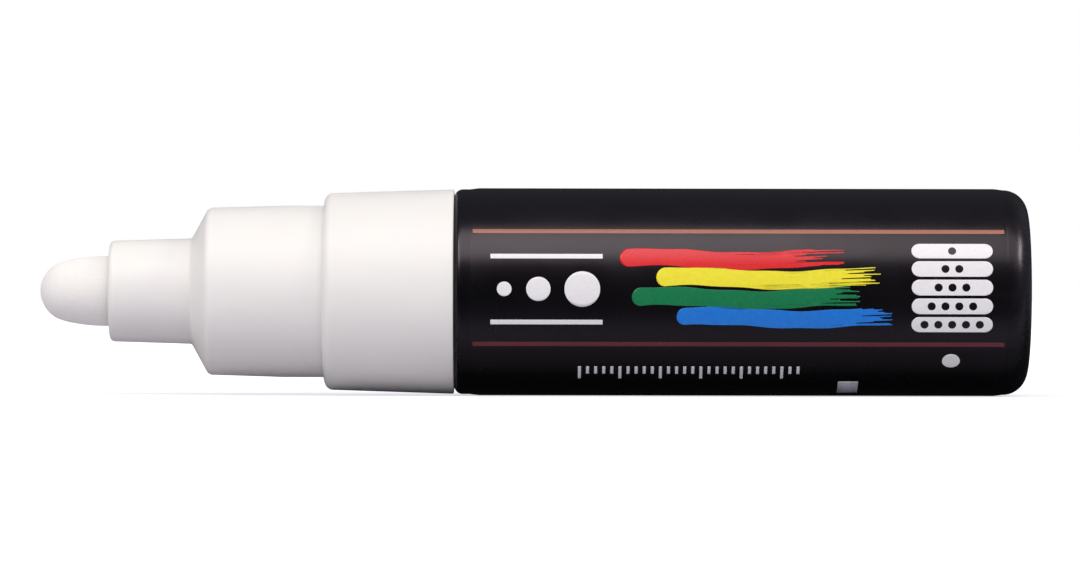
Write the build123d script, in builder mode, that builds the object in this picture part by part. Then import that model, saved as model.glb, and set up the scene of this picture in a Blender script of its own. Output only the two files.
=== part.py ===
from build123d import *
import math
import os

# A round paint marker without its cap, lying on its side. The nib points to -X and +Z is up. The origin
# is under the middle of the marker, on the surface that it lies on. Sizes are in millimetres.

# Lengths along the marker, from the flat tail to the tip of the nib
barrel_length = 71.4
collar_length = 16.3
cap_seat_length = 14.3
cone_length = 2.1
sleeve_length = 10.2
nib_exposed = 8.7

# Barrel: a deep moulded cup that holds the paint, with the moulding's gate in its tail. Its label panel
# stands a little proud, with a ramp at each end.
barrel_diameter = 25.54
barrel_wall = 1.3
barrel_floor = 1.8
tail_round = 3.0
floor_round = 1.5
rim_round = 1.1
panel_rise = 0.12
panel_ramp = 1.0
gate_diameter = 4.0
gate_depth = 0.4

# Printed film shrunk round the label panel and its ramps
film_thickness = 0.025
film_front_margin = 2.1
film_tail_margin = 0.2

# Clearances: between the film and the barrel, pieces pushed together for good, a seal ring in its groove,
# and pieces that slide
film_clearance = 0.005
press_clearance = 0.05
seal_clearance = 0.01
slide_clearance = 0.08

# Collar: it plugs into the barrel, carries the nose and houses the valve
mould_draft = 1.7
collar_inset = 0.03
shoulder_rake = 0.4
collar_round = 1.1
collar_rear_round = 0.2
spigot_length = 9.0
spigot_lead = 0.8
bead_distance = 2.4
bead_section = 1.2
bead_height = 0.4
seal_distance = 5.6
seal_section = 1.2
seal_side_room = 0.15
groove_wall = 1.35
neck_length = 5.0
neck_wall = 1.74
valve_stop_distance = 9.0

# Nose: the cap's seat, a cone and the sleeve that guides the nib. A cap that is pushed on fills the step
# in front of the collar.
cap_step = 1.57
cap_land_length = 5.0
nose_wall = 1.4
roof_setback = 1.0
nose_round = 0.9
sleeve_diameter = 13.16
sleeve_round = 0.65
sleeve_root_round = 0.35
vent_gap = 0.45
rib_count = 6
rib_width = 0.9
rib_setback = 0.8

# Nib: a bullet at both ends, so that it can be turned round
nib_diameter = 8.74
nib_length = 34.0
bullet_length = 8.0
bullet_side_sweep = 20.0

# Valve seat, and the rubber washer that closes on its lip
valve_seat_thickness = 3.6
lip_diameter = 7.6
lip_width = 0.6
lip_height = 0.4
washer_margin = 0.6
washer_thickness = 1.0

# Valve stem: a cup for the nib, a fluted rod, a head, a spring boss and a guide pin
cup_diameter = 9.6
cup_rim = 1.6
cup_floor = 1.6
rod_diameter = 5.2
flute_count = 4
flute_diameter = 2.6
head_margin = 0.5
head_thickness = 1.4
boss_side_room = 0.3
boss_length = 2.0
pin_diameter = 3.0
pin_reach = 1.0
pin_chamfer = 0.4

# Valve spring and the slotted cage that holds it
spring_diameter = 7.6
spring_wire = 0.5
spring_turns = 6
spring_end_gap = 0.05
cage_reach = 5.6
cage_wall = 1.2
cage_floor = 1.4
window_count = 4
window_width = 5.0
window_margin = 0.6
port_count = 8
port_diameter = 1.6

# Steel ball that stirs the paint
ball_diameter = 8.0
ball_gap = 0.05

# Radii of the barrel, and of what plugs into it
barrel_radius = barrel_diameter / 2
bore_radius = barrel_radius - barrel_wall
panel_radius = barrel_radius + panel_rise
film_inner_radius = panel_radius + film_clearance
film_radius = film_inner_radius + film_thickness
spigot_radius = bore_radius - press_clearance
seal_groove_radius = bore_radius - seal_section - 2 * seal_clearance
bay_radius = seal_groove_radius - groove_wall
insert_radius = bay_radius - press_clearance
cage_inner_radius = insert_radius - cage_wall
ball_radius = ball_diameter / 2

# Radii of the collar and the nose
draft_slope = math.tan(math.radians(mould_draft))
collar_rear_radius = barrel_radius - collar_inset
collar_front_radius = collar_rear_radius - collar_length * draft_slope
cap_seat_radius = collar_front_radius - cap_step
cap_seat_front_radius = cap_seat_radius - (cap_seat_length - cap_land_length) * draft_slope
chamber_radius = cap_seat_radius - nose_wall
neck_radius = chamber_radius - press_clearance
throat_radius = neck_radius - neck_wall
sleeve_rear_radius = sleeve_diameter / 2
sleeve_front_radius = sleeve_rear_radius - sleeve_length * draft_slope
nib_radius = nib_diameter / 2
rib_radius = nib_radius + slide_clearance
vent_radius = rib_radius + vent_gap
mouth_wall = sleeve_front_radius - vent_radius

# Radii of the valve
rod_radius = rod_diameter / 2
lip_inner_radius = (lip_diameter - lip_width) / 2
lip_outer_radius = (lip_diameter + lip_width) / 2
washer_radius = lip_outer_radius + washer_margin
head_radius = washer_radius + head_margin
pin_radius = pin_diameter / 2
wire_radius = spring_wire / 2
coil_radius = (spring_diameter - spring_wire) / 2
boss_radius = coil_radius - wire_radius - boss_side_room

# Places along the marker: the outside first, then the valve from the nib back to the barrel's floor
shell_length = barrel_length + collar_length + cap_seat_length + cone_length + sleeve_length
tail_x = (shell_length + nib_exposed) / 2
barrel_front_x = tail_x - barrel_length
collar_front_x = barrel_front_x - collar_length
cap_seat_front_x = collar_front_x - cap_seat_length
cone_front_x = cap_seat_front_x - cone_length
sleeve_front_x = cone_front_x - sleeve_length
nib_tip_x = sleeve_front_x - nib_exposed
nib_rear_x = nib_tip_x + nib_length
film_front_x = barrel_front_x + film_front_margin
film_tail_x = tail_x - tail_round - film_tail_margin
spigot_end_x = barrel_front_x + spigot_length
bead_x = barrel_front_x + bead_distance
seal_x = barrel_front_x + seal_distance
neck_front_x = collar_front_x - neck_length
valve_stop_x = barrel_front_x - valve_stop_distance
chamber_front_x = cap_seat_front_x + roof_setback
rib_front_x = sleeve_front_x + rib_setback
cup_front_x = nib_rear_x - cup_rim
cup_rear_x = nib_rear_x + cup_floor
seat_rear_x = valve_stop_x + valve_seat_thickness
washer_front_x = seat_rear_x + lip_height
head_front_x = washer_front_x + washer_thickness
head_rear_x = head_front_x + head_thickness
cage_end_x = spigot_end_x + cage_reach
cage_length = cage_end_x - seat_rear_x
cage_floor_x = cage_end_x - cage_floor
barrel_floor_x = tail_x - barrel_floor
window_front_x = spigot_end_x + window_margin
window_length = cage_floor_x - window_margin - window_front_x

# The marker lies on its film, so its axis is one film radius above the surface
axis_height = film_radius
marker_axis = Axis((0, 0, axis_height), (1, 0, 0))
profile_plane = Plane(origin=(0, 0, axis_height), x_dir=(1, 0, 0), z_dir=(0, -1, 0))


def section_at(x):
    """The plane square to the marker's axis at x, which faces the tail, with its own x axis upwards."""
    return Plane(origin=(x, 0, axis_height), x_dir=(0, 0, 1), z_dir=(1, 0, 0))


def panel_line(radius):
    """The outline, from front to tail, of a layer on the label panel and its ramps with this radius."""
    foot = radius - panel_rise
    return [
        (film_front_x, foot),
        (film_front_x + panel_ramp, radius),
        (film_tail_x - panel_ramp, radius),
        (film_tail_x, foot),
    ]


with BuildPart() as barrel:
    with BuildSketch(section_at(barrel_front_x)):
        Circle(barrel_radius)
    extrude(amount=barrel_length)
    fillet(barrel.edges().group_by(Axis.X)[-1], tail_round)
    fillet(barrel.edges().group_by(Axis.X)[0], rim_round)
    with BuildSketch(section_at(barrel_front_x)):
        Circle(bore_radius)
    extrude(amount=barrel_length - barrel_floor, mode=Mode.SUBTRACT)
    fillet(barrel.edges(Select.LAST).sort_by(Axis.X)[-1], floor_round)
    # Snap groove for the collar's bead
    with BuildSketch(profile_plane):
        with Locations((bead_x, spigot_radius + bead_height - bead_section / 2)):
            Circle(bead_section / 2 + press_clearance)
    revolve(axis=marker_axis, mode=Mode.SUBTRACT)
    with BuildSketch(section_at(tail_x)):
        Circle(gate_diameter / 2)
    extrude(amount=-gate_depth, mode=Mode.SUBTRACT)
    # Label panel, rooted halfway into the wall
    with BuildSketch(profile_plane):
        with BuildLine():
            panel_outline = Polyline(panel_line(panel_radius))
            Polyline(
                panel_outline @ 1,
                (film_tail_x, barrel_radius - barrel_wall / 2),
                (film_front_x, barrel_radius - barrel_wall / 2),
                panel_outline @ 0,
            )
        make_face()
    revolve(axis=marker_axis)

with BuildPart() as label_sleeve:
    with BuildSketch(profile_plane):
        with BuildLine():
            film_outside = Polyline(panel_line(film_radius))
            film_inside = Polyline(panel_line(film_inner_radius))
            Line(film_outside @ 0, film_inside @ 0)
            Line(film_outside @ 1, film_inside @ 1)
        make_face()
    revolve(axis=marker_axis)

# The ring fills the space between its groove in the collar's spigot and the barrel's bore
seal_groove_width = seal_section + 2 * seal_side_room

with BuildPart() as barrel_seal:
    with BuildSketch(profile_plane):
        with Locations((seal_x, bore_radius - seal_clearance - seal_section / 2)):
            Circle(seal_section / 2)
    revolve(axis=marker_axis)

with BuildPart() as collar:
    with BuildSketch(profile_plane):
        with BuildLine():
            Polyline(
                (spigot_end_x, bay_radius),
                (spigot_end_x, spigot_radius - spigot_lead),
                (spigot_end_x - spigot_lead, spigot_radius),
                (barrel_front_x, spigot_radius),
                (barrel_front_x, collar_rear_radius),
                (collar_front_x + shoulder_rake, collar_front_radius),
                (collar_front_x, cap_seat_radius),
                (collar_front_x, neck_radius),
                (neck_front_x, neck_radius),
                (neck_front_x, throat_radius),
                (valve_stop_x, throat_radius),
                (valve_stop_x, bay_radius),
                close=True,
            )
        make_face()
    revolve(axis=marker_axis)
    rims = collar.edges().filter_by(GeomType.CIRCLE).sort_by(SortBy.RADIUS)
    fillet(rims[-2], collar_round)
    fillet(rims[-1], collar_rear_round)
    with BuildSketch(profile_plane):
        with Locations((bead_x, spigot_radius + bead_height - bead_section / 2)):
            Circle(bead_section / 2)
    revolve(axis=marker_axis)
    with BuildSketch(section_at(seal_x - seal_groove_width / 2)):
        Circle(spigot_radius)
        Circle(seal_groove_radius, mode=Mode.SUBTRACT)
    extrude(amount=seal_groove_width, mode=Mode.SUBTRACT)

with BuildPart() as nose:
    with BuildSketch(profile_plane):
        with BuildLine():
            Polyline(
                (collar_front_x, cap_seat_radius),
                (collar_front_x - cap_land_length, cap_seat_radius),
                (cap_seat_front_x, cap_seat_front_radius),
                (cone_front_x, sleeve_rear_radius),
                (sleeve_front_x, sleeve_front_radius),
                (sleeve_front_x, vent_radius),
                (chamber_front_x, vent_radius),
                (chamber_front_x, chamber_radius),
                (collar_front_x, chamber_radius),
                close=True,
            )
        make_face()
    revolve(axis=marker_axis)
    steps = nose.edges().filter_by(GeomType.CIRCLE)
    fillet(steps.filter_by_position(Axis.X, cap_seat_front_x, cap_seat_front_x), nose_round)
    fillet(steps.filter_by_position(Axis.X, cone_front_x, cone_front_x), sleeve_root_round)
    mouth = steps.filter_by_position(Axis.X, sleeve_front_x, sleeve_front_x).sort_by(SortBy.RADIUS)
    fillet(mouth[-1], min(sleeve_round, mouth_wall / 2))
    # Ribs that guide the nib and leave air passages round it, rooted halfway into the sleeve's wall
    rib_depth = vent_gap + mouth_wall / 2
    with BuildSketch(section_at(rib_front_x)):
        with PolarLocations(rib_radius + rib_depth / 2, rib_count):
            Rectangle(rib_depth, rib_width)
    extrude(amount=chamber_front_x - rib_front_x)

# The bullet is two arcs: one round the tip, and a long one that runs into the nib's side without a corner
bullet_drop = bullet_side_sweep - nib_radius
sweep_past_bullet = bullet_side_sweep - bullet_length
tip_radius = (bullet_side_sweep**2 - bullet_drop**2 - bullet_length**2) / (2 * sweep_past_bullet)
sweep_share = bullet_side_sweep / (bullet_side_sweep - tip_radius)
join_depth = bullet_length - (bullet_length - tip_radius) * sweep_share
join_radius = bullet_drop * sweep_share - bullet_drop

with BuildPart() as nib:
    with BuildSketch(profile_plane):
        with BuildLine():
            for tip_x, inwards in ((nib_tip_x, 1), (nib_rear_x, -1)):
                join = (tip_x + inwards * join_depth, join_radius)
                shoulder = (tip_x + inwards * bullet_length, nib_radius)
                TangentArc((tip_x, 0), join, tangent=(0, 1))
                TangentArc(shoulder, join, tangent=(-inwards, 0))
            Line((nib_tip_x + bullet_length, nib_radius), (nib_rear_x - bullet_length, nib_radius))
            Line((nib_tip_x, 0), (nib_rear_x, 0))
        make_face()
    revolve(axis=marker_axis)

with BuildPart() as valve_seat:
    with BuildSketch(section_at(valve_stop_x)):
        Circle(insert_radius)
        Circle(rod_radius + slide_clearance, mode=Mode.SUBTRACT)
    extrude(amount=valve_seat_thickness)
    with BuildSketch(section_at(seat_rear_x)):
        Circle(lip_outer_radius)
        Circle(lip_inner_radius, mode=Mode.SUBTRACT)
    extrude(amount=lip_height)

with BuildPart() as valve_washer:
    with BuildSketch(section_at(washer_front_x)):
        Circle(washer_radius)
        Circle(rod_radius + press_clearance, mode=Mode.SUBTRACT)
    extrude(amount=washer_thickness)

# The cup's dish follows the round tip of the nib's rear end
dish_bottom = (nib_rear_x + slide_clearance, 0)
dish_mouth = (cup_front_x, math.sqrt((tip_radius + slide_clearance) ** 2 - (tip_radius - cup_rim) ** 2))

with BuildPart() as valve_stem:
    with BuildSketch(profile_plane):
        with BuildLine():
            TangentArc(dish_bottom, dish_mouth, tangent=(0, 1))
            Polyline(
                dish_mouth,
                (cup_front_x, cup_diameter / 2),
                (cup_rear_x, cup_diameter / 2),
                (cup_rear_x, 0),
                dish_bottom,
            )
        make_face()
    revolve(axis=marker_axis)
    with BuildSketch(section_at(cup_rear_x)):
        Circle(rod_radius)
        with PolarLocations(rod_radius, flute_count):
            Circle(flute_diameter / 2, mode=Mode.SUBTRACT)
    extrude(amount=head_front_x - cup_rear_x)
    with BuildSketch(section_at(head_front_x)):
        Circle(head_radius)
    extrude(amount=head_thickness)
    with BuildSketch(section_at(head_rear_x)):
        Circle(boss_radius)
    extrude(amount=boss_length)
    with BuildSketch(section_at(head_rear_x)):
        Circle(pin_radius)
    extrude(amount=cage_end_x + pin_reach - head_rear_x)
    chamfer(valve_stem.edges().group_by(Axis.X)[-1], pin_chamfer)

with BuildPart() as valve_cage:
    with BuildSketch(section_at(seat_rear_x)):
        Circle(insert_radius)
    extrude(amount=cage_length)
    with BuildSketch(section_at(seat_rear_x)):
        Circle(cage_inner_radius)
    extrude(amount=cage_length - cage_floor, mode=Mode.SUBTRACT)
    # Guide hole for the pin, ports round it and windows in the wall let the paint through
    with BuildSketch(section_at(cage_floor_x)):
        Circle(pin_radius + slide_clearance)
        with PolarLocations((cage_inner_radius + coil_radius + wire_radius) / 2, port_count):
            Circle(port_diameter / 2)
    extrude(amount=cage_floor, mode=Mode.SUBTRACT)
    with BuildSketch(section_at(window_front_x)):
        with PolarLocations(insert_radius, window_count):
            Rectangle(insert_radius, window_width)
    extrude(amount=window_length, mode=Mode.SUBTRACT)


# The spring's path is a helix drawn as quarter turns, each of two arcs that meet without a corner
spring_front_x = head_rear_x + spring_end_gap + wire_radius
spring_rear_x = cage_floor_x - spring_end_gap - wire_radius
spring_rise = (spring_rear_x - spring_front_x) / (2 * math.pi * spring_turns)


def coil_point(angle):
    """The spring wire's middle, after it has turned by this angle."""
    across = coil_radius * math.cos(angle)
    up = axis_height + coil_radius * math.sin(angle)
    return Vector(spring_front_x + spring_rise * angle, across, up)


def coil_heading(angle):
    """The way that the spring's wire runs at this angle."""
    return Vector(spring_rise, -coil_radius * math.sin(angle), coil_radius * math.cos(angle)).normalized()


with BuildPart() as valve_spring:
    with BuildLine() as spring_path:
        for quarter in range(4 * spring_turns):
            start_angle = quarter * math.pi / 2
            end_angle = start_angle + math.pi / 2
            start = coil_point(start_angle)
            end = coil_point(end_angle)
            start_heading = coil_heading(start_angle)
            end_heading = coil_heading(end_angle)
            chord = end - start
            along = chord.dot(start_heading + end_heading)
            spread = 2 * (1 - start_heading.dot(end_heading))
            reach = (math.sqrt(along**2 + spread * chord.dot(chord)) - along) / spread
            first_corner = start + start_heading * reach
            last_corner = end - end_heading * reach
            middle = (first_corner + last_corner) * 0.5
            TangentArc(start, middle, tangent=start_heading)
            TangentArc(middle, end, tangent=(last_corner - first_corner).normalized())
    with BuildSketch(Plane(origin=coil_point(0), z_dir=coil_heading(0))):
        Circle(wire_radius)
    sweep(path=spring_path.wires()[0])

with BuildPart() as agitator_ball:
    ball_drop = bore_radius - ball_radius - ball_gap
    with Locations((barrel_floor_x - ball_radius - ball_gap, 0, axis_height - ball_drop)):
        Sphere(ball_radius)

pieces = {
    "barrel": barrel,
    "label_sleeve": label_sleeve,
    "barrel_seal": barrel_seal,
    "collar": collar,
    "nose": nose,
    "nib": nib,
    "valve_seat": valve_seat,
    "valve_washer": valve_washer,
    "valve_stem": valve_stem,
    "valve_cage": valve_cage,
    "valve_spring": valve_spring,
    "agitator_ball": agitator_ball,
}

os.makedirs("parts", exist_ok=True)
for name, piece in pieces.items():
    piece.part.label = name
    export_step(piece.part, f"parts/{name}.step")
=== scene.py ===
import math

import bpy
import numpy as np
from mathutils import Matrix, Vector


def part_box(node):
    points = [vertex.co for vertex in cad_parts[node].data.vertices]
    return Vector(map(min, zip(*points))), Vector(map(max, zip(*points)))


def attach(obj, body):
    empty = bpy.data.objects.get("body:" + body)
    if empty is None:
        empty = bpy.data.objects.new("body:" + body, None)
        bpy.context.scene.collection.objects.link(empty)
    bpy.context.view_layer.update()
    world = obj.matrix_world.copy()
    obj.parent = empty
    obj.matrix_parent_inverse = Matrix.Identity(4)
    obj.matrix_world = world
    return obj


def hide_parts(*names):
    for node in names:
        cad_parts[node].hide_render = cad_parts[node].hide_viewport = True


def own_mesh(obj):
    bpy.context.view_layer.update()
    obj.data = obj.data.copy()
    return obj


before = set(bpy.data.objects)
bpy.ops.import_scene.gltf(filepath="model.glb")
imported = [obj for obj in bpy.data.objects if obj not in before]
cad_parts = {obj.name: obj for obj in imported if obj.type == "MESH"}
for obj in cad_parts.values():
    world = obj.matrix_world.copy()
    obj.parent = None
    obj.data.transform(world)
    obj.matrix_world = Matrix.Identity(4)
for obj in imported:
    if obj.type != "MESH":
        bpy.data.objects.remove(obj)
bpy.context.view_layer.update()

# The marker lies along X with its nib to -X, on the floor at z = 0. Sizes are in millimetres.
MM = 0.001

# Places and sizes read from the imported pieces
film_low, film_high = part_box("label_sleeve")
nib_low, nib_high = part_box("nib")
spring_low, spring_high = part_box("valve_spring")
FILM_RADIUS = film_high.z / MM / 2
AXIS_HEIGHT = FILM_RADIUS
FILM_FRONT = film_low.x / MM
FILM_TAIL = film_high.x / MM
NIB_TIP = nib_low.x / MM
NIB_REAR = nib_high.x / MM
NIB_RADIUS = nib_high.z / MM - AXIS_HEIGHT
BARREL_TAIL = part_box("barrel")[1].x / MM
SPRING_FRONT = spring_low.x / MM
SPRING_REAR = spring_high.x / MM
SPRING_RADIUS = spring_high.z / MM - AXIS_HEIGHT

# Barrel: the round of its tail edge, how far past the start of that round its scuffs begin and are full,
# and how much rougher they are
TAIL_ROUND = 3.0
SCUFF_START = 0.3
SCUFF_FULL = 0.6 * TAIL_ROUND
SCUFF_ROUGHNESS = 0.12

# Film: its ramps at the ends of the label panel, and the lap of its seam at the back
FILM_THICKNESS = 0.012
PANEL_RAMP = 1.0
PANEL_RISE = 0.12
SEAM_WIDTH = 4.0
SEAM_STEP = 0.006
SEAM_EDGE = 0.1

# Ink: the height of its face above the film, its depth, and the height of ink on ink above that face
INK_LIFT = 0.010
INK_THICKNESS = 0.012
OVERPRINT_LIFT = 0.004

# Nib: the length of its bullet, the radius of the bullet's side arc, and the relief of its fibres with
# their spread, in cells along the nib and round it
BULLET_LENGTH = 8.0
BULLET_SIDE_RADIUS = 20.0
FIBRE_RELIEF = 0.02
FIBRE_SPREAD = (6, 0.9)

# Valve spring
SPRING_WIRE = 0.5
SPRING_TURNS = 6

# Print: spans along the marker, and heights measured up round the film from the middle of the front
RULE_WIDTH = 0.6
RULE_MARGIN = 0.3
RED_RULE_HEIGHTS = (8.0, -6.7)
WHITE_RULE_SPAN = (-5.3, 8.5)
WHITE_RULE_HEIGHTS = (4.5, -3.75)
DROP_PLACES = (-3.6, 0.6, 6.0)
DROP_DIAMETERS = (1.8, 3.0, 4.4)
PILL_SPAN = (46.5, 56.5)
PILL_HEIGHT = 1.95
PILL_PITCH = 2.32
PILL_MIDDLE = 0.63
PILL_COUNT = 5
PIP_DIAMETER = 1.0
PIP_PITCH = 1.7
TICK_SPAN = (5.5, 32.5)
TICK_PITCH = 1.0
TICK_TOP = -10.2
TICK_WIDTH = 0.38
TICK_LENGTH = 1.4
LONG_TICK_LENGTH = 2.4
LONG_TICK_EVERY = 5
DOT_PLACE = (51.5, -9.2)
DOT_DIAMETER = 2.2
SQUARE_SPAN = (37.7, 40.2)
SQUARE_HEIGHTS = (-16.9, -13.2)

# Strokes of paint: the length over which their lanes run dry, their sway with its waves along a stroke
# and its start in radians, and the ripple of their width with its waves
STROKE_SPAN = (10.6, 44.2)
STROKE_WIDTH = 2.25
STROKE_PITCH = 2.45
STROKE_MIDDLE = 0.5
STROKE_LANES = 15
STROKE_DRY_END = 7.0
STROKE_SWAY = 0.25
STROKE_SWAY_WAVES = 1.5
STROKE_SWAY_START = 0.4
STROKE_RIPPLE = 0.05
STROKE_RIPPLE_WAVES = 5

# Meshes of the film, the nib and the spring: cells round each and along a turn of the spring, rows of the
# nib's tip, side and half of its middle, and how far its side's rows run on past the bullet
FILM_CELLS = 360
NIB_CELLS = 320
NIB_TIP_ROWS = 60
NIB_SIDE_ROWS = 70
NIB_MIDDLE_ROWS = 12
NIB_SIDE_RUN_OUT = 1.0
WIRE_CELLS = 14
COIL_CELLS = 48

# Meshes of the print: the height of a bar's rows, the columns and rows of a pill with the turn in
# radians that is left off its ends, the rows of a stroke's lane, the columns along it, and the place of its
# outer rows as a share of its half width
BAR_ROW = 0.2
PILL_COLUMNS = 40
PILL_ROWS = 13
PILL_END_TURN = 0.1
LANE_ROWS = 3
STROKE_COLUMNS = 90
STROKE_EDGE = 0.995

# Edges that turn by more than this stay sharp
SHARP_EDGE = math.radians(45)

# The size of the mottle in the film's ground, in its print and in its strokes of paint
GROUND_MOTTLE = 3.0
PRINT_MOTTLE = 0.4
STROKE_MOTTLE = 0.5

# The faint violet cast of the gloss on black plastic and on film
VIOLET_CAST = "#f9eaff"

# The range that a noise mostly keeps to
NOISE_RANGE = {"From Min": 0.3, "From Max": 0.7}

# Camera, measured on the photograph, with its roll in degrees
CAMERA_DISTANCE = 872.0
CAMERA_X = 0.8
CAMERA_Z = 14.33
CAMERA_LENS = 233.0
CAMERA_ROLL = -0.1

# Soft boxes: the start and end of each along X, its elevation in degrees and its radiance
KEY_BOXES = (
    (-760.0, -480.0, 55.0, 5.1),
    (-480.0, 115.0, 55.0, 2.02),
    (115.0, 700.0, 55.0, 1.0),
    (820.0, 1180.0, 67.0, 8.7),
)
KEY_DISTANCE = 720.0
KEY_HEIGHT = 460.0
KEY_COLOUR = "#fffcee"

# Light from all round: its level, and what the front and the back add to it
AMBIENT = 0.235
FRONT_AMBIENT = 1.0
BACK_AMBIENT = 0.95
AMBIENT_COLOUR = "#e8e8fa"

# What gloss mirrors of the walls, of the ceiling, and of the right side with the range of its directions
MIRRORED_WALL = 0.012
MIRRORED_CEILING = 0.14
MIRRORED_RIGHT = 0.18
MIRRORED_RIGHT_RANGE = (0.3, 0.9)

# Floor: its half size and its paper, and its glow at the marker with the distances over which that grows
# to white
FLOOR_HALF = 4000.0
FLOOR_LEVEL = 0.57
FLOOR_COLOUR = "#f7f6ff"
FLOOR_GLOW = 0.62
FLOOR_GLOW_RANGE = (80.0, 400.0)

# The floor in gloss: the reach over which its mirrored light brightens to the right of the barrel, and the
# levels of its paper at distances in front of the marker's axis, a painted reflection with painted shade
# under the marker and a painted pool of light in front of it
FLOOR_RIGHT_REACH = 80.0
FLOOR_PAINTED_REFLECTION = (
    (7.0, 0.02),
    (10.0, 0.12),
    (12.8, 0.14),
    (15.0, 0.26),
    (20.0, 0.26),
    (34.0, 0.05),
    (80.0, 0.01),
)

# The sockets of a Mix node: two colours and their mix, and two plain values
MIX_A, MIX_B, MIX_RESULT = 6, 7, 2
VALUE_A, VALUE_B = 2, 3


def linear(hex_colour):
    """An sRGB hex colour as linear RGBA."""
    srgb = np.array([int(hex_colour[k : k + 2], 16) for k in (1, 3, 5)]) / 255
    rgb = np.where(srgb <= 0.04045, srgb / 12.92, ((srgb + 0.055) / 1.055) ** 2.4)
    return (*rgb.tolist(), 1.0)


def per_metre(size):
    """The texture scale that gives features of this size in millimetres."""
    return 1 / (size * MM)


def add(tree, kind, inputs=None, **settings):
    """Adds a node with its settings. Each input is a socket to link from, or a constant."""
    made = tree.nodes.new(kind)
    for key, value in settings.items():
        setattr(made, key, value)
    for key, value in (inputs or {}).items():
        if isinstance(value, bpy.types.NodeSocket):
            tree.links.new(value, made.inputs[key])
        else:
            made.inputs[key].default_value = value
    return made


def make_material(name, linked, constants):
    """A material with one Principled shader. Its constants are set on its sockets, and
    linked(tree, place) gives the sockets that vary over the surface."""
    material = bpy.data.materials.new(name)
    material.use_nodes = True
    tree = material.node_tree
    shader = tree.nodes["Principled BSDF"]
    for key, value in constants.items():
        shader.inputs[key].default_value = value
    place = add(tree, "ShaderNodeTexCoord").outputs["Object"]
    for key, socket in linked(tree, place).items():
        tree.links.new(socket, shader.inputs[key])
    return material


def surface(tree, colour, roughness, bump):
    """The sockets of a surface, from what goes into three nodes: a mix of two colours, a range of
    roughness and a bump."""
    mixed = add(tree, "ShaderNodeMix", colour, data_type="RGBA")
    ranged = add(tree, "ShaderNodeMapRange", roughness)
    raised = add(tree, "ShaderNodeBump", bump)
    return {
        "Base Color": mixed.outputs[MIX_RESULT],
        "Roughness": ranged.outputs["Result"],
        "Normal": raised.outputs["Normal"],
    }


def tail_scuffs(tree, place):
    """A socket with the barrel's scuffs: worn spots where a place is past the start of the tail's round
    both along the marker and outwards."""
    round_start = ((BARREL_TAIL - TAIL_ROUND) * MM, 0.0, AXIS_HEIGHT * MM)
    offset = add(tree, "ShaderNodeVectorMath", {0: place, 1: round_start}, operation="SUBTRACT")
    along = add(tree, "ShaderNodeSeparateXYZ", {"Vector": offset.outputs["Vector"]})
    across = add(
        tree,
        "ShaderNodeMapping",
        {"Vector": offset.outputs["Vector"], "Scale": (0.0, 1.0, 1.0)},
    )
    radius = add(tree, "ShaderNodeVectorMath", {0: across.outputs["Vector"]}, operation="LENGTH")
    outwards = add(
        tree,
        "ShaderNodeMath",
        {0: radius.outputs["Value"], 1: (FILM_RADIUS - TAIL_ROUND) * MM},
        operation="SUBTRACT",
    )
    past_both = add(
        tree,
        "ShaderNodeMath",
        {0: along.outputs["X"], 1: outwards.outputs[0]},
        operation="MINIMUM",
    )
    edge = add(
        tree,
        "ShaderNodeMapRange",
        {"Value": past_both.outputs[0], "From Min": SCUFF_START * MM, "From Max": SCUFF_FULL * MM},
    )
    grit = add(tree, "ShaderNodeTexNoise", {"Vector": place, "Scale": per_metre(0.8), "Detail": 6.0})
    worn = add(
        tree,
        "ShaderNodeMapRange",
        {"Value": grit.outputs["Fac"], "From Min": 0.54, "From Max": 0.7},
    )
    scuffs = add(
        tree,
        "ShaderNodeMath",
        {0: edge.outputs["Result"], 1: worn.outputs["Result"]},
        operation="MULTIPLY",
    )
    return scuffs.outputs[0]


def black_polypropylene():
    """Injection-moulded black polypropylene: deep black and glossy from a polished mould, with a faint
    orange peel, a soft haze of handling, and dull scuffs on the rounded tail edge."""

    def linked(tree, place):
        haze = add(tree, "ShaderNodeTexNoise", {"Vector": place, "Scale": per_metre(9), "Detail": 4.0})
        peel = add(tree, "ShaderNodeTexNoise", {"Vector": place, "Scale": per_metre(0.7), "Detail": 2.0})
        moulded = surface(
            tree,
            colour={0: haze.outputs["Fac"], MIX_A: linear("#030304"), MIX_B: linear("#070708")},
            roughness={"Value": haze.outputs["Fac"], **NOISE_RANGE, "To Min": 0.22, "To Max": 0.3},
            bump={"Height": peel.outputs["Fac"], "Strength": 0.1, "Distance": 0.02 * MM},
        )
        scuffs = tail_scuffs(tree, place)
        scuffed = add(
            tree,
            "ShaderNodeMix",
            {0: scuffs, MIX_A: moulded["Base Color"], MIX_B: linear("#18181b")},
            data_type="RGBA",
        )
        dulled = add(
            tree,
            "ShaderNodeMath",
            {0: scuffs, 1: SCUFF_ROUGHNESS, 2: moulded["Roughness"]},
            operation="MULTIPLY_ADD",
        )
        return {**moulded, "Base Color": scuffed.outputs[MIX_RESULT], "Roughness": dulled.outputs[0]}

    constants = {"IOR": 1.49, "Specular IOR Level": 0.72, "Specular Tint": linear(VIOLET_CAST)}
    return make_material("polypropylene black moulded", linked, constants)


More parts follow.
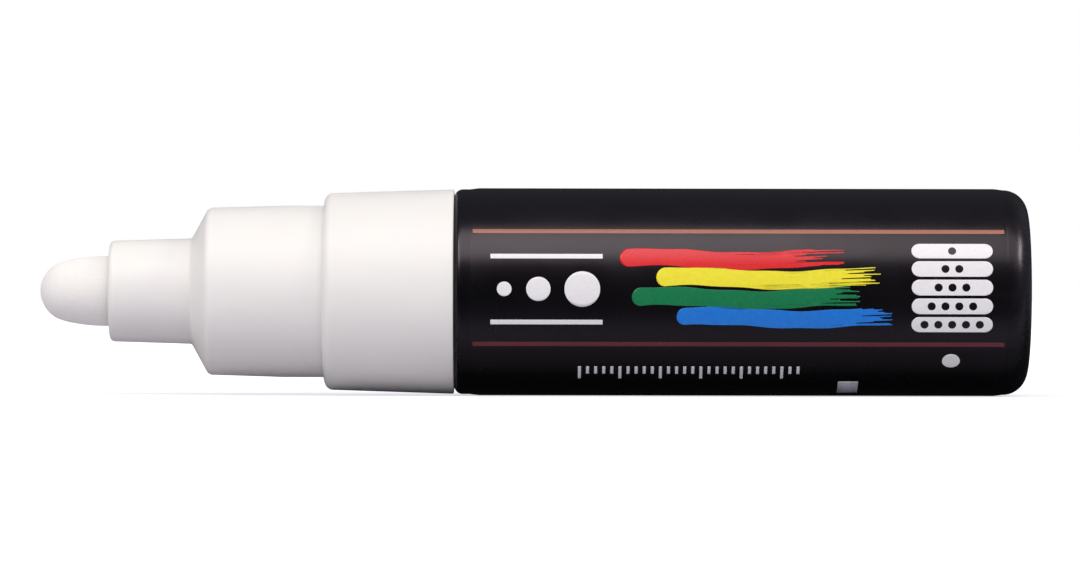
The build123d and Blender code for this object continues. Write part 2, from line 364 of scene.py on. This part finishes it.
def printed_film(name, light, dark, mottle_size):
    """Polypropylene film, reverse printed and shrunk on: the ink's colour, mottled where the ink took
    unevenly, under a gloss that varies with handling and shows the slack and draw lines of shrinking."""

    def linked(tree, place):
        mottle = add(
            tree,
            "ShaderNodeTexNoise",
            {"Vector": place, "Scale": per_metre(mottle_size), "Detail": 5.0},
        )
        haze = add(tree, "ShaderNodeTexNoise", {"Vector": place, "Scale": per_metre(7), "Detail": 5.0})
        streaks = add(tree, "ShaderNodeMapping", {"Vector": place, "Scale": (1.0, 4.0, 4.0)})
        draw = add(
            tree,
            "ShaderNodeTexNoise",
            {"Vector": streaks.outputs["Vector"], "Scale": per_metre(6), "Detail": 3.0},
        )
        return surface(
            tree,
            colour={0: mottle.outputs["Fac"], MIX_A: linear(dark), MIX_B: linear(light)},
            roughness={"Value": haze.outputs["Fac"], **NOISE_RANGE, "To Min": 0.23, "To Max": 0.31},
            bump={"Height": draw.outputs["Fac"], "Strength": 0.15, "Distance": 0.03 * MM},
        )

    constants = {"IOR": 1.53, "Specular IOR Level": 0.7, "Specular Tint": linear(VIOLET_CAST)}
    return make_material(name, linked, constants)


def white_polypropylene():
    """Injection-moulded white polypropylene: a warm white that lets a little light through, satin from a
    fine eroded mould, with faint clouds where the melt flowed."""

    def linked(tree, place):
        flow = add(tree, "ShaderNodeMapping", {"Vector": place, "Scale": (0.4, 1.0, 1.0)})
        cloud = add(
            tree,
            "ShaderNodeTexNoise",
            {"Vector": flow.outputs["Vector"], "Scale": per_metre(5), "Detail": 4.0},
        )
        grit = add(tree, "ShaderNodeTexNoise", {"Vector": place, "Scale": per_metre(0.28), "Detail": 3.0})
        return surface(
            tree,
            colour={0: cloud.outputs["Fac"], MIX_A: linear("#edeae4"), MIX_B: linear("#f2efe9")},
            roughness={"Value": cloud.outputs["Fac"], **NOISE_RANGE, "To Min": 0.4, "To Max": 0.5},
            bump={"Height": grit.outputs["Fac"], "Strength": 0.2, "Distance": 0.015 * MM},
        )

    constants = {
        "IOR": 1.49,
        "Subsurface Weight": 0.2,
        "Subsurface Radius": (1.0, 0.9, 0.8),
        "Subsurface Scale": 1.2 * MM,
    }
    return make_material("polypropylene white moulded", linked, constants)


def bonded_fibre():
    """Bonded polyester fibre, ground to a bullet: a dry off-white with fine streaks along the fibres.
    The fibres are 0.03 mm thick and are drawn five times as coarse, so that they show."""

    def linked(tree, place):
        stretched = add(tree, "ShaderNodeMapping", {"Vector": place, "Scale": (0.08, 1.0, 1.0)})
        fibres = add(
            tree,
            "ShaderNodeTexNoise",
            {"Vector": stretched.outputs["Vector"], "Scale": per_metre(0.15), "Detail": 4.0},
        )
        pores = add(tree, "ShaderNodeTexNoise", {"Vector": place, "Scale": per_metre(0.2), "Detail": 4.0})
        relief = add(
            tree,
            "ShaderNodeMath",
            {0: fibres.outputs["Fac"], 1: pores.outputs["Fac"]},
            operation="ADD",
        )
        return surface(
            tree,
            colour={0: fibres.outputs["Fac"], MIX_A: linear("#ece7e0"), MIX_B: linear("#f8f5ef")},
            roughness={"Value": pores.outputs["Fac"], **NOISE_RANGE, "To Min": 0.8, "To Max": 0.95},
            bump={"Height": relief.outputs[0], "Strength": 0.4, "Distance": 0.03 * MM},
        )

    constants = {
        "Sheen Weight": 0.15,
        "Sheen Roughness": 0.6,
        "Specular IOR Level": 0.25,
        "Subsurface Weight": 0.3,
        "Subsurface Radius": (1.0, 0.9, 0.85),
        "Subsurface Scale": 1.5 * MM,
    }
    return make_material("polyester fibre bonded and ground", linked, constants)


def natural_polyethylene():
    """Injection-moulded natural polyethylene: milky and waxy, with soft clouds and a dull mould grain."""

    def linked(tree, place):
        cloud = add(tree, "ShaderNodeTexNoise", {"Vector": place, "Scale": per_metre(3), "Detail": 4.0})
        grit = add(tree, "ShaderNodeTexNoise", {"Vector": place, "Scale": per_metre(0.25), "Detail": 2.0})
        return surface(
            tree,
            colour={0: cloud.outputs["Fac"], MIX_A: linear("#d9d8d0"), MIX_B: linear("#e9e8e2")},
            roughness={"Value": cloud.outputs["Fac"], "To Min": 0.35, "To Max": 0.55},
            bump={"Height": grit.outputs["Fac"], "Strength": 0.2, "Distance": 0.02 * MM},
        )

    constants = {"IOR": 1.52, "Subsurface Weight": 0.3, "Subsurface Scale": 1.5 * MM}
    return make_material("polyethylene natural moulded", linked, constants)


def nitrile_rubber():
    """Moulded nitrile rubber: charcoal and matt, with a bloom of pale dust and a fine grain."""

    def linked(tree, place):
        bloom = add(tree, "ShaderNodeTexNoise", {"Vector": place, "Scale": per_metre(1.2), "Detail": 5.0})
        grain = add(tree, "ShaderNodeTexNoise", {"Vector": place, "Scale": per_metre(0.12), "Detail": 3.0})
        return surface(
            tree,
            colour={0: bloom.outputs["Fac"], MIX_A: linear("#161617"), MIX_B: linear("#2a2a2b")},
            roughness={"Value": bloom.outputs["Fac"], "To Min": 0.6, "To Max": 0.85},
            bump={"Height": grain.outputs["Fac"], "Strength": 0.3, "Distance": 0.02 * MM},
        )

    return make_material("nitrile rubber moulded", linked, {"IOR": 1.52})


def stainless_steel(name, roughness, lay):
    """Stainless steel: bright grey, with fine marks of drawing or grinding as long as the lay says."""

    def linked(tree, place):
        drawn = add(tree, "ShaderNodeMapping", {"Vector": place, "Scale": lay})
        noise = add(
            tree,
            "ShaderNodeTexNoise",
            {"Vector": drawn.outputs["Vector"], "Scale": per_metre(0.2), "Detail": 4.0},
        )
        marks = noise.outputs["Fac"]
        return surface(
            tree,
            colour={0: marks, MIX_A: linear("#b9b8b4"), MIX_B: linear("#d5d4d0")},
            roughness={"Value": marks, "To Min": 0.7 * roughness, "To Max": 1.3 * roughness},
            bump={"Height": marks, "Strength": 0.1, "Distance": 0.01 * MM},
        )

    return make_material(name, linked, {"Metallic": 1.0})


def skin(grid, wrap_rows=False, wrap_columns=False, first_pole=None, last_pole=None):
    """Points and faces of a grid of points: a quad for each cell, the last row or column joined to the
    first where it wraps, and a fan of triangles from the first or last row to a pole."""
    rows, columns = grid.shape[:2]
    index = np.arange(rows * columns).reshape(rows, columns)
    if wrap_rows:
        index = np.vstack([index, index[:1]])
    if wrap_columns:
        index = np.hstack([index, index[:, :1]])
    corners = [index[:-1, :-1], index[:-1, 1:], index[1:, 1:], index[1:, :-1]]
    points = grid.reshape(-1, 3)
    faces = np.stack(corners, axis=-1).reshape(-1, 4).tolist()
    for pole, ring in ((first_pole, index[0, ::-1]), (last_pole, index[-1])):
        if pole is not None:
            apex = np.full(len(ring) - 1, len(points))
            faces += np.stack([ring[:-1], ring[1:], apex], axis=-1).tolist()
            points = np.vstack([points, pole])
    return points, faces


def put(name, points, faces, material, body):
    """Makes a smooth mesh object from points in millimetres, which rides on a body."""
    mesh = bpy.data.meshes.new(name)
    mesh.from_pydata((points * MM).tolist(), [], faces)
    mesh.polygons.foreach_set("use_smooth", np.full(len(mesh.polygons), True))
    mesh.materials.append(material)
    made = bpy.data.objects.new(name, mesh)
    bpy.context.scene.collection.objects.link(made)
    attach(made, body)
    return made


def turned(along, radius, turns):
    """Points of an outline carried round the marker's axis: each place and radius at each turn, where a
    radius may differ from turn to turn."""
    radius = np.broadcast_to(np.atleast_2d(radius), (len(along), len(turns)))
    along = np.broadcast_to(np.asarray(along)[:, None], radius.shape)
    return np.stack([along, radius * np.cos(turns), AXIS_HEIGHT + radius * np.sin(turns)], axis=-1)


def soft_noise(rows, columns, row_spread, column_spread, seed):
    """Smooth random relief from 0 to 1 that wraps round both ways: white noise blurred by a bell curve
    of this spread, in cells, by way of its spectrum."""
    noise = np.random.default_rng(seed).normal(size=(rows, columns))
    row_waves = np.fft.fftfreq(rows)[:, None] * row_spread
    column_waves = np.fft.fftfreq(columns)[None, :] * column_spread
    bell = np.exp(-2 * np.pi**2 * (row_waves**2 + column_waves**2))
    relief = np.fft.ifft2(np.fft.fft2(noise) * bell).real
    return (relief - relief.min()) / (relief.max() - relief.min())


def label_film(material):
    """The film as a closed sleeve: an outline of its outside from front to tail and its inside back
    again, carried round the axis, and lifted a little over the lap of its seam at the back."""
    outside = FILM_RADIUS - INK_LIFT
    inside = outside - FILM_THICKNESS
    places = [FILM_FRONT, FILM_FRONT + PANEL_RAMP, FILM_TAIL - PANEL_RAMP, FILM_TAIL]
    drop = np.array([PANEL_RISE, 0, 0, PANEL_RISE])
    along = np.array(places + places[::-1])
    outline = np.concatenate([outside - drop, inside - drop])
    turns = np.linspace(0, 2 * np.pi, FILM_CELLS, endpoint=False)
    from_seam = np.minimum(turns, 2 * np.pi - turns) * FILM_RADIUS
    lap = np.clip((SEAM_WIDTH / 2 - from_seam) / SEAM_EDGE + 0.5, 0, 1)
    lifted = np.repeat([SEAM_STEP, 0.0], len(places))[:, None] * lap
    grid = turned(along, outline[:, None] + lifted, turns)
    points, faces = skin(grid, wrap_rows=True, wrap_columns=True)
    made = put("film", points, faces, material, "marker_body")
    made.data.set_sharp_from_angle(angle=SHARP_EDGE)
    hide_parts("label_sleeve")


def bullet_nib(material):
    """The nib, a bullet at both ends: a tip arc and a long side arc that meet without a corner, carried
    round the axis, with grooves between its fibres that fade out towards the tips. The tip arc's centre is
    on the axis. The side arc's centre is level with the bullet's end and off the axis by the drop. The
    arcs touch on the line through their centres, which gives the tip's radius."""
    drop = BULLET_SIDE_RADIUS - NIB_RADIUS
    spare = BULLET_SIDE_RADIUS - BULLET_LENGTH
    tip_radius = (BULLET_SIDE_RADIUS**2 - drop**2 - BULLET_LENGTH**2) / (2 * spare)
    share = BULLET_SIDE_RADIUS / (BULLET_SIDE_RADIUS - tip_radius)
    join = BULLET_LENGTH - (BULLET_LENGTH - tip_radius) * share
    tip_turn = math.acos(1 - join / tip_radius)
    side_end = BULLET_LENGTH + NIB_SIDE_RUN_OUT
    half = (NIB_REAR - NIB_TIP) / 2
    tip_depths = tip_radius * (1 - np.cos(np.linspace(0, tip_turn, NIB_TIP_ROWS)[1:]))
    side_depths = np.linspace(join, side_end, NIB_SIDE_ROWS)[1:]
    middle_depths = np.linspace(side_end, half, NIB_MIDDLE_ROWS)[1:]
    depths = np.concatenate([tip_depths, side_depths, middle_depths])
    tip_arc = np.sqrt(np.maximum(tip_radius**2 - (tip_radius - depths) ** 2, 0))
    side_arc = np.sqrt(BULLET_SIDE_RADIUS**2 - np.clip(BULLET_LENGTH - depths, 0, None) ** 2) - drop
    front = np.where(depths < join, tip_arc, side_arc)
    along = np.concatenate([NIB_TIP + depths, NIB_REAR - depths[-2::-1]])
    radius = np.concatenate([front, front[-2::-1]])
    turns = np.linspace(0, 2 * np.pi, NIB_CELLS, endpoint=False)
    grooves = soft_noise(len(along), len(turns), *FIBRE_SPREAD, seed=3) * FIBRE_RELIEF
    fibres = radius[:, None] - grooves * (radius / NIB_RADIUS)[:, None]
    poles = [(x, 0, AXIS_HEIGHT) for x in (NIB_TIP, NIB_REAR)]
    grid = turned(along, fibres, turns)
    points, faces = skin(grid, wrap_columns=True, first_pole=poles[0], last_pole=poles[1])
    made = put("fibre_nib", points, faces, material, "nib")
    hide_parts("nib")


def coil_spring(material):
    """The valve spring: a circle carried along a helix, closed by a fan at each end, built at the length of
    its CAD node.
    In the marker it shortens towards the cage's floor as the valve is pressed."""
    wire = SPRING_WIRE / 2
    coil = SPRING_RADIUS - wire
    turn = np.linspace(0, 2 * np.pi * SPRING_TURNS, COIL_CELLS * SPRING_TURNS + 1)
    front, rear = SPRING_FRONT + wire, SPRING_REAR - wire
    rise = (rear - front) / turn[-1]
    heights = AXIS_HEIGHT + coil * np.sin(turn)
    middle = np.stack([front + rise * turn, coil * np.cos(turn), heights], axis=-1)
    outward = np.stack([np.zeros_like(turn), np.cos(turn), np.sin(turn)], axis=-1)
    heading = np.stack([np.full_like(turn, rise), -coil * np.sin(turn), coil * np.cos(turn)], axis=-1)
    heading /= np.linalg.norm(heading, axis=1)[:, None]
    sideways = np.cross(heading, outward)
    round_wire = np.linspace(0, 2 * np.pi, WIRE_CELLS, endpoint=False)[None, :, None]
    offset = outward[:, None] * np.cos(round_wire) + sideways[:, None] * np.sin(round_wire)
    grid = middle[:, None] + wire * offset
    points, faces = skin(grid, wrap_columns=True, first_pole=middle[0], last_pole=middle[-1])
    made = put("coil_spring", points, faces, material, "marker_body")
    made.data.set_sharp_from_angle(angle=SHARP_EDGE)
    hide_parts("valve_spring")
    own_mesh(made)


def spaced(middle, pitch, count):
    """Places at an even pitch about a middle."""
    return middle + pitch * (np.arange(count) - (count - 1) / 2)


def bar(span, heights):
    """A straight bar: a grid between two places along the marker and two heights round the film."""
    low, high = min(heights), max(heights)
    return np.meshgrid(np.array(span), np.linspace(low, high, 2 + int((high - low) / BAR_ROW)))


def rule(span, height):
    """A bar as wide as a rule, with this height in its middle."""
    return bar(span, (height - RULE_WIDTH / 2, height + RULE_WIDTH / 2))


def pill(span, middle, height):
    """A bar with half-round ends: its half height is the sine of a half turn whose cosine gives its
    ends, with a straight run between them."""
    half = height / 2
    straight = (span[1] - span[0]) / 2 - half
    turn = np.linspace(PILL_END_TURN, np.pi - PILL_END_TURN, PILL_COLUMNS)
    along = sum(span) / 2 - straight * np.sign(np.cos(turn)) - half * np.cos(turn)
    across = np.linspace(-1, 1, PILL_ROWS)[:, None]
    height_grid = middle + across * half * np.sin(turn)
    return np.broadcast_to(along, height_grid.shape), height_grid


def disc(place, height, diameter):
    """A round spot: a pill with no straight run."""
    return pill((place - diameter / 2, place + diameter / 2), height, diameter)


def brush_stroke(span, middle, seed):
    """A stroke of paint: lanes side by side that start on a half circle, sway together along a sine and
    run dry at lengths of their own, while a faster sine ripples the stroke's width."""
    random = np.random.default_rng(seed)
    dryness = np.repeat(random.uniform(0, 1, STROKE_LANES) ** 2, LANE_ROWS)[:, None]
    across = np.linspace(-STROKE_EDGE, STROKE_EDGE, len(dryness))[:, None]
    start = span[0] + STROKE_WIDTH / 2 * (1 - np.sqrt(1 - across**2))
    end = span[1] - STROKE_DRY_END * dryness
    along = start + (end - start) * np.linspace(0, 1, STROKE_COLUMNS)
    waves = 2 * np.pi * (along - span[0]) / (STROKE_SPAN[1] - STROKE_SPAN[0])
    sway = STROKE_SWAY * np.sin(STROKE_SWAY_WAVES * waves + STROKE_SWAY_START)
    ripple = 1 + STROKE_RIPPLE * np.sin(STROKE_RIPPLE_WAVES * waves + seed)
    return along, middle + sway + across * ripple * STROKE_WIDTH / 2


def printed(name, patches, ink, lift=0.0):
    """Ink on the film: each patch of places and heights is bent round the film and given the ink's
    depth."""
    points, faces = [], []
    reach = FILM_RADIUS + lift
    for along, height in patches:
        turn = height / FILM_RADIUS
        bent = np.stack([along, -reach * np.cos(turn), AXIS_HEIGHT + reach * np.sin(turn)], axis=-1)
        patch_points, patch_faces = skin(bent)
        faces += (np.array(patch_faces) + sum(map(len, points))).tolist()
        points.append(patch_points)
    made = put(name, np.concatenate(points), faces, ink, "marker_body")
    depth = made.modifiers.new("ink depth", "SOLIDIFY")
    depth.thickness = INK_THICKNESS * MM
    depth.offset = -1
    made.modifiers.new("ink face", "WEIGHTED_NORMAL")


def print_red_rules():
    """Two red rules along the whole film, each repeated at its height on the back. They share one red ink,
    painted lighter on the upper rule as light and darker on the lower rule as shade.
    """
    # One red ink in two copies: painted light on the upper rule, painted shade on the lower rule
    lit_and_shaded_reds = (
        printed_film("film ink red with painted light", "#a66850", "#9a5f49", PRINT_MOTTLE),
        printed_film("film ink red with painted shade", "#6e2c32", "#66282d", PRINT_MOTTLE),
    )
    span = (FILM_FRONT + RULE_MARGIN, FILM_TAIL - RULE_MARGIN)
    for name, height, ink in zip(("upper", "lower"), RED_RULE_HEIGHTS, lit_and_shaded_reds):
        back = math.copysign(math.pi * FILM_RADIUS, height) - height
        printed(f"print_{name}_rule", [rule(span, height), rule(span, back)], ink)


def print_drops(white):
    """Three white drops of growing size, between two thin white rules."""
    rules = [rule(WHITE_RULE_SPAN, height) for height in WHITE_RULE_HEIGHTS]
    middle = sum(WHITE_RULE_HEIGHTS) / 2
    drops = [disc(place, middle, size) for place, size in zip(DROP_PLACES, DROP_DIAMETERS)]
    printed("print_white_rules", rules + drops, white)


def print_strokes():
    """Four strokes of paint in rows, each in its own colour, with its start and its end moved along."""
    strokes = (
        ("red", "#e8150f", "#d40f0c", 0.0, -6.0),
        ("yellow", "#f8ee2c", "#ecdc14", 4.5, -1.5),
        ("green", "#0b8a52", "#087243", 1.5, -4.0),
        ("blue", "#1787e6", "#0f6fd0", 7.0, 0.0),
    )
    rows = spaced(STROKE_MIDDLE, -STROKE_PITCH, len(strokes))
    for seed, (name, light, dark, start_move, end_move) in enumerate(strokes):
        ink = printed_film(f"film ink {name}", light, dark, STROKE_MOTTLE)
        span = (STROKE_SPAN[0] + start_move, STROKE_SPAN[1] + end_move)
        printed(f"print_stroke_{name}", [brush_stroke(span, rows[seed], seed)], ink)


def print_pills(white):
    """White pills in a column, with one black pip on the top one and one more on each pill below it."""
    black = printed_film("film ink black", "#141415", "#0c0c0d", PRINT_MOTTLE)
    heights = spaced(PILL_MIDDLE, PILL_PITCH, PILL_COUNT)
    printed("print_pills", [pill(PILL_SPAN, height, PILL_HEIGHT) for height in heights], white)
    pips = []
    for row, height in enumerate(heights):
        places = spaced(sum(PILL_SPAN) / 2, PIP_PITCH, PILL_COUNT - row)
        pips += [disc(place, height, PIP_DIAMETER) for place in places]
    printed("print_gauge", pips, black, lift=OVERPRINT_LIFT)


def print_scale(white):
    """A plain white scale, with a long tick at even steps, and a dot."""
    ticks = np.arange(TICK_SPAN[0], TICK_SPAN[1] + TICK_PITCH / 2, TICK_PITCH)
    is_long = np.arange(len(ticks)) % LONG_TICK_EVERY == 0
    feet = TICK_TOP - np.where(is_long, LONG_TICK_LENGTH, TICK_LENGTH)
    scale = [bar((place, place + TICK_WIDTH), (foot, TICK_TOP)) for place, foot in zip(ticks, feet)]
    printed("print_scale", scale + [disc(*DOT_PLACE, DOT_DIAMETER)], white)


def print_square():
    """A small pale grey square, low on the front."""
    grey = printed_film("film ink pale grey", "#f2f2f6", "#e4e4ea", PRINT_MOTTLE)
    printed("print_grey_square", [bar(SQUARE_SPAN, SQUARE_HEIGHTS)], grey)


def print_label():
    """All the print on the film."""
    white = printed_film("film ink white", "#f4f2f0", "#e6e3e2", PRINT_MOTTLE)
    print_red_rules()
    print_drops(white)
    print_strokes()
    print_pills(white)
    print_scale(white)
    print_square()


def dress(names, material):
    """Gives CAD nodes their material."""
    for name in names:
        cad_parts[name].material_slots[0].material = material


def by_ray(tree, level, levels):
    """A socket with a level for each kind of ray that is named, and another for all other rays."""
    rays = add(tree, "ShaderNodeLightPath").outputs
    for ray, named_level in levels.items():
        mixed = add(tree, "ShaderNodeMix", {0: rays[ray], VALUE_A: level, VALUE_B: named_level})
        level = mixed.outputs[0]
    return level


def white_surround():
    """The world: white where the camera looks, and for the object a dim light that is stronger from the
    front and the back. Gloss mirrors only a small share of the white, as in a dark studio with a pale
    ceiling and some light at the right."""
    world = bpy.data.worlds.new("studio")
    world.use_nodes = True
    tree = world.node_tree
    direction = add(tree, "ShaderNodeTexCoord").outputs["Generated"]
    sides = add(tree, "ShaderNodeSeparateXYZ", {"Vector": direction}).outputs
    front = add(
        tree,
        "ShaderNodeMapRange",
        {"Value": sides["Y"], "From Max": -1.0, "To Min": AMBIENT, "To Max": AMBIENT + FRONT_AMBIENT},
    )
    back = add(tree, "ShaderNodeMapRange", {"Value": sides["Y"], "To Max": BACK_AMBIENT})
    ambient = add(tree, "ShaderNodeMath", {0: front.outputs["Result"], 1: back.outputs["Result"]})
    ceiling = add(
        tree,
        "ShaderNodeMapRange",
        {"Value": sides["Z"], "To Min": MIRRORED_WALL, "To Max": MIRRORED_CEILING},
    )
    right = add(
        tree,
        "ShaderNodeMapRange",
        {
            "Value": sides["X"],
            "From Min": MIRRORED_RIGHT_RANGE[0],
            "From Max": MIRRORED_RIGHT_RANGE[1],
            "To Max": MIRRORED_RIGHT,
        },
    )
    mirrored = add(tree, "ShaderNodeMath", {0: ceiling.outputs["Result"], 1: right.outputs["Result"]})
    levels = {"Is Camera Ray": 1.0, "Is Transmission Ray": 1.0, "Is Glossy Ray": mirrored.outputs[0]}
    strength = by_ray(tree, ambient.outputs[0], levels)
    whiteness = by_ray(tree, 0.0, {"Is Camera Ray": 1.0})
    colour = add(
        tree,
        "ShaderNodeMix",
        {0: whiteness, MIX_A: linear(AMBIENT_COLOUR), MIX_B: linear("#ffffff")},
        data_type="RGBA",
    )
    background = tree.nodes["Background"]
    tree.links.new(colour.outputs[MIX_RESULT], background.inputs["Color"])
    tree.links.new(strength, background.inputs["Strength"])
    bpy.context.scene.world = world


def floor_paper():
    """Pale matt paper: it reads white to the camera away from the marker and keeps its shadow near it.
    Gloss mirrors only a strip of it in front of the marker, with painted shade under the marker and a
    painted pool of light beyond, and some light that grows to the right."""

    def linked(tree, place):
        from_middle = add(tree, "ShaderNodeVectorMath", {0: place}, operation="LENGTH")
        glow = add(
            tree,
            "ShaderNodeMapRange",
            {
                "Value": from_middle.outputs["Value"],
                "From Min": FLOOR_GLOW_RANGE[0] * MM,
                "From Max": FLOOR_GLOW_RANGE[1] * MM,
                "To Min": FLOOR_GLOW,
                "To Max": 1.0,
            },
        )
        sides = add(tree, "ShaderNodeSeparateXYZ", {"Vector": place}).outputs
        right = add(
            tree,
            "ShaderNodeMapRange",
            {
                "Value": sides["X"],
                "From Min": BARREL_TAIL * MM,
                "From Max": (BARREL_TAIL + FLOOR_RIGHT_REACH) * MM,
                "To Min": MIRRORED_WALL,
                "To Max": MIRRORED_RIGHT,
            },
        )
        mirrored = right.outputs["Result"]
        levels = {"Is Camera Ray": 1.0, "Is Transmission Ray": 1.0, "Is Glossy Ray": mirrored}
        seen = by_ray(tree, 0.0, levels)
        glowing = glow.outputs["Result"]
        strength = add(tree, "ShaderNodeMath", {0: seen, 1: glowing}, operation="MULTIPLY")
        # Painted reflection: in gloss the paper is painted dark as shade just in front of the axis and
        # lighter as a pool of light further out
        strip_end, end_level = FLOOR_PAINTED_REFLECTION[-1]
        ahead = add(tree, "ShaderNodeMapRange", {"Value": sides["Y"], "From Max": -strip_end * MM})
        painted_strip = add(tree, "ShaderNodeValToRGB", {0: ahead.outputs["Result"]})
        stops = painted_strip.color_ramp.elements
        stops[1].color = (end_level, end_level, end_level, 1.0)
        for distance, stop_level in FLOOR_PAINTED_REFLECTION[:-1]:
            stops.new(distance / strip_end).color = (stop_level, stop_level, stop_level, 1.0)
        level = by_ray(tree, FLOOR_LEVEL, {"Is Glossy Ray": painted_strip.outputs["Color"]})
        paper = add(
            tree,
            "ShaderNodeMix",
            {0: level, MIX_A: linear("#000000"), MIX_B: linear(FLOOR_COLOUR)},
            data_type="RGBA",
        )
        return {"Base Color": paper.outputs[MIX_RESULT], "Emission Strength": strength.outputs[0]}

    constants = {"Roughness": 1.0, "Specular IOR Level": 0.0, "Emission Color": linear("#ffffff")}
    return make_material("floor paper pale", linked, constants)


def pale_floor():
    """The floor: one large square of paper under the marker."""
    half = FLOOR_HALF * MM
    corners = [(-half, -half, 0), (half, -half, 0), (half, half, 0), (-half, half, 0)]
    mesh = bpy.data.meshes.new("floor")
    mesh.from_pydata(corners, [], [(0, 1, 2, 3)])
    mesh.materials.append(floor_paper())
    floor = bpy.data.objects.new("floor", mesh)
    bpy.context.scene.collection.objects.link(floor)


def soft_boxes():
    """The lamps: soft boxes side by side in front of the marker and above it, brighter at both ends."""
    for start, end, degrees, radiance in KEY_BOXES:
        elevation = math.radians(degrees)
        away = Vector((0, -math.cos(elevation), math.sin(elevation))) * KEY_DISTANCE
        data = bpy.data.lights.new("soft box", "AREA")
        data.shape = "RECTANGLE"
        data.size = (end - start) * MM
        data.size_y = KEY_HEIGHT * MM
        data.energy = radiance * math.pi * data.size * data.size_y
        data.color = linear(KEY_COLOUR)[:3]
        lamp = bpy.data.objects.new("soft box", data)
        lamp.location = (Vector(((start + end) / 2, 0, AXIS_HEIGHT)) + away) * MM
        lamp.rotation_euler = (-away).to_track_quat("-Z", "Y").to_euler()
        lamp.visible_camera = False
        bpy.context.scene.collection.objects.link(lamp)


def photo_camera():
    """The photograph's camera: level, square to the marker, with a long lens."""
    data = bpy.data.cameras.new("camera")
    data.lens = CAMERA_LENS
    camera = bpy.data.objects.new("camera", data)
    camera.location = Vector((CAMERA_X, -CAMERA_DISTANCE, CAMERA_Z)) * MM
    camera.rotation_euler = (math.pi / 2, math.radians(CAMERA_ROLL), 0)
    bpy.context.scene.collection.objects.link(camera)
    bpy.context.scene.camera = camera


label_film(printed_film("film ink black ground", "#060607", "#030304", GROUND_MOTTLE))
print_label()
bullet_nib(bonded_fibre())
coil_spring(stainless_steel("stainless steel drawn wire", 0.25, (0.2, 1.0, 1.0)))
dress(["barrel"], black_polypropylene())
dress(["collar", "nose"], white_polypropylene())
dress(["valve_seat", "valve_stem", "valve_cage"], natural_polyethylene())
dress(["barrel_seal", "valve_washer"], nitrile_rubber())
dress(["agitator_ball"], stainless_steel("stainless steel ground ball", 0.12, (1.0, 1.0, 1.0)))
white_surround()
pale_floor()
soft_boxes()
photo_camera()
bpy.context.scene.view_settings.view_transform = "Standard"
